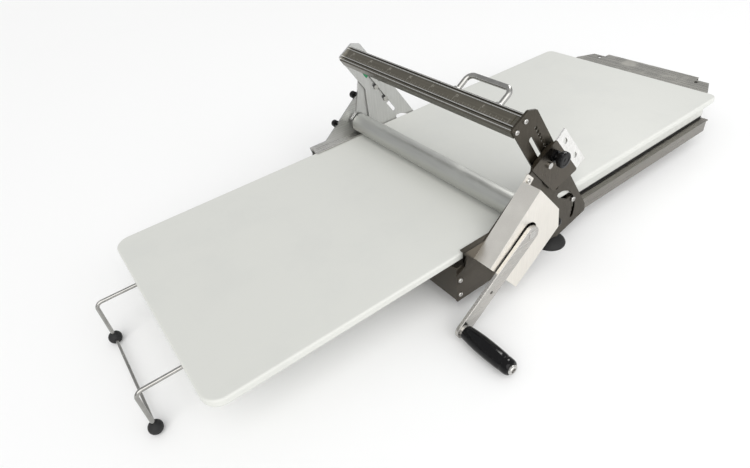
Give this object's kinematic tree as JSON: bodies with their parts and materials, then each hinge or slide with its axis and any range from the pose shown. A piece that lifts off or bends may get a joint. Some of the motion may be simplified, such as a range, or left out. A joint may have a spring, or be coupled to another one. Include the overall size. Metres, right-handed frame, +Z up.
{
  "type": "dough sheeter",
  "caption": "Hand-cranked table-top dough sheeter: a sliding white board runs between a geared lower roller and a height-indexed press roller on a tilting mast.",
  "frame": {"origin": "on the table, under the middle of the machine's overall box", "axes": "+X along the board from the wire stand to the end tray, +Y across the board away from the crank, +Z up"},
  "size_m": [1.1755, 0.5336, 0.2769],
  "materials": {
    "brushed_stainless": "fine horizontal brushed grain",
    "dark_brushed_stainless": "brushed, in warm reflection",
    "bright_brushed_steel": "bright brushed",
    "turned_steel": "turned and polished",
    "polished_steel": "polished wire and bar",
    "satin_roller_steel": "satin ground",
    "gear_steel": "cut steel, lightly greased",
    "white_polyethylene": "matt, faint milling marks",
    "black_gloss_plastic": "glossy",
    "black_rubber": "matt",
    "dark_anodised_aluminium": "satin anodised",
    "ruler_plate": "satin",
    "dark_acetal": "matt",
    "green_marker": "matt"
  },
  "bodies": {
    "machine_frame": {"base_tray": "brushed_stainless", "near_side_plate": "brushed_stainless", "far_side_plate": "brushed_stainless", "side_plate_screws": "turned_steel", "near_guide_strip": "brushed_stainless", "far_guide_strip": "brushed_stainless", "suction_feet": "black_rubber", "foot_studs": "turned_steel", "foot_nuts": "turned_steel", "drive_bushes": "dark_acetal", "crank_bush": "dark_acetal", "gear_cover": "bright_brushed_steel", "cover_screws": "turned_steel", "pivot_bolts": "turned_steel", "pivot_caps": "black_gloss_plastic", "arc_guide_screws": "turned_steel", "arc_guide_posts": "brushed_stainless", "far_side_caps": "black_gloss_plastic", "near_rail": "brushed_stainless", "far_rail": "brushed_stainless", "bar_pads": "black_rubber", "slide_bars": "white_polyethylene", "stand_sockets": "dark_acetal"},
    "board": {"dough_board": "white_polyethylene"},
    "drive_roller": {"lower_roller": "satin_roller_steel", "lower_axle": "turned_steel", "roller_gear": "gear_steel"},
    "crank": {"crank_shaft": "turned_steel", "crank_arm": "polished_steel", "crank_gear": "gear_steel", "grip_spindle": "turned_steel", "grip_end_cap": "turned_steel"},
    "grip": {"crank_grip": "black_gloss_plastic"},
    "mast": {"near_mast_plate": "dark_brushed_stainless", "far_mast_plate": "dark_brushed_stainless", "cross_beam": "dark_anodised_aluminium", "ruler_strip": "ruler_plate", "beam_screws": "turned_steel", "lift_handle": "polished_steel", "handle_washers": "turned_steel"},
    "carriage": {"near_carriage_plate": "dark_brushed_stainless", "far_carriage_plate": "dark_brushed_stainless", "press_roller_bushes": "dark_acetal", "guide_sleeves": "dark_acetal", "guide_screws": "turned_steel", "index_bracket": "dark_brushed_stainless", "bracket_lip": "bright_brushed_steel", "bracket_spacers": "turned_steel", "plunger_barrel": "black_gloss_plastic", "height_marker": "green_marker"},
    "press_roller": {"press_roller": "satin_roller_steel", "press_axle": "turned_steel"},
    "plunger": {"plunger_pin": "turned_steel", "plunger_knob": "black_gloss_plastic"},
    "end_tray": {"end_tray": "brushed_stainless"},
    "wire_stand": {"stand_wires": "polished_steel", "stand_ball_feet": "black_rubber", "stand_cross_wire": "polished_steel"}
  },
  "joints": [
    {"name": "board_slide", "type": "slide", "parent": "machine_frame", "child": "board", "axis": [1, 0, 0], "range_m": [-0.3, 0.3]},
    {"name": "drive_roller_spin", "type": "hinge", "parent": "machine_frame", "child": "drive_roller", "pos_m": [-0.05125, 0.05725, 0.0757], "axis": [0, 1, 0], "range_deg": [-1450, 1450]},
    {"name": "press_roller_spin", "type": "hinge", "parent": "carriage", "child": "press_roller", "pos_m": [-0.05125, 0.05725, 0.122], "axis": [0, 1, 0], "range_deg": [-1030, 1030]},
    {"name": "crank_turn", "type": "hinge", "parent": "machine_frame", "child": "crank", "pos_m": [-0.07225, -0.17975, 0.11207], "axis": [0, 1, 0], "range_deg": [-810, 810]},
    {"name": "grip_spin", "type": "hinge", "parent": "crank", "child": "grip", "pos_m": [-0.19518, -0.18275, 0.01603], "axis": [0, 1, 0], "continuous": true},
    {"name": "mast_tilt", "type": "hinge", "parent": "machine_frame", "child": "mast", "pos_m": [0.03175, 0.05725, 0.057], "axis": [0, 1, 0], "range_deg": [0, 25]},
    {"name": "carriage_height", "type": "slide", "parent": "mast", "child": "carriage", "axis": [-0.5373, 0, 0.8434], "range_m": [0, 0.045]},
    {"name": "plunger_pull", "type": "slide", "parent": "carriage", "child": "plunger", "axis": [0, -1, 0], "range_m": [-0.003, 0.004], "stiffness_N_per_m": 900},
    {"name": "end_tray_slide", "type": "slide", "parent": "machine_frame", "child": "end_tray", "axis": [-1, 0, 0], "range_m": [0, 0.18]},
    {"name": "wire_stand_pull", "type": "slide", "parent": "machine_frame", "child": "wire_stand", "axis": [-1, 0, 0], "range_m": [0, 0.075]}
  ],
  "couplings": [
    {"joint": "drive_roller_spin", "follows": "board_slide", "rad_per_m": 83.333},
    {"joint": "press_roller_spin", "follows": "board_slide", "rad_per_m": -58.824},
    {"joint": "crank_turn", "follows": "board_slide", "rad_per_m": -46.296}
  ]
}
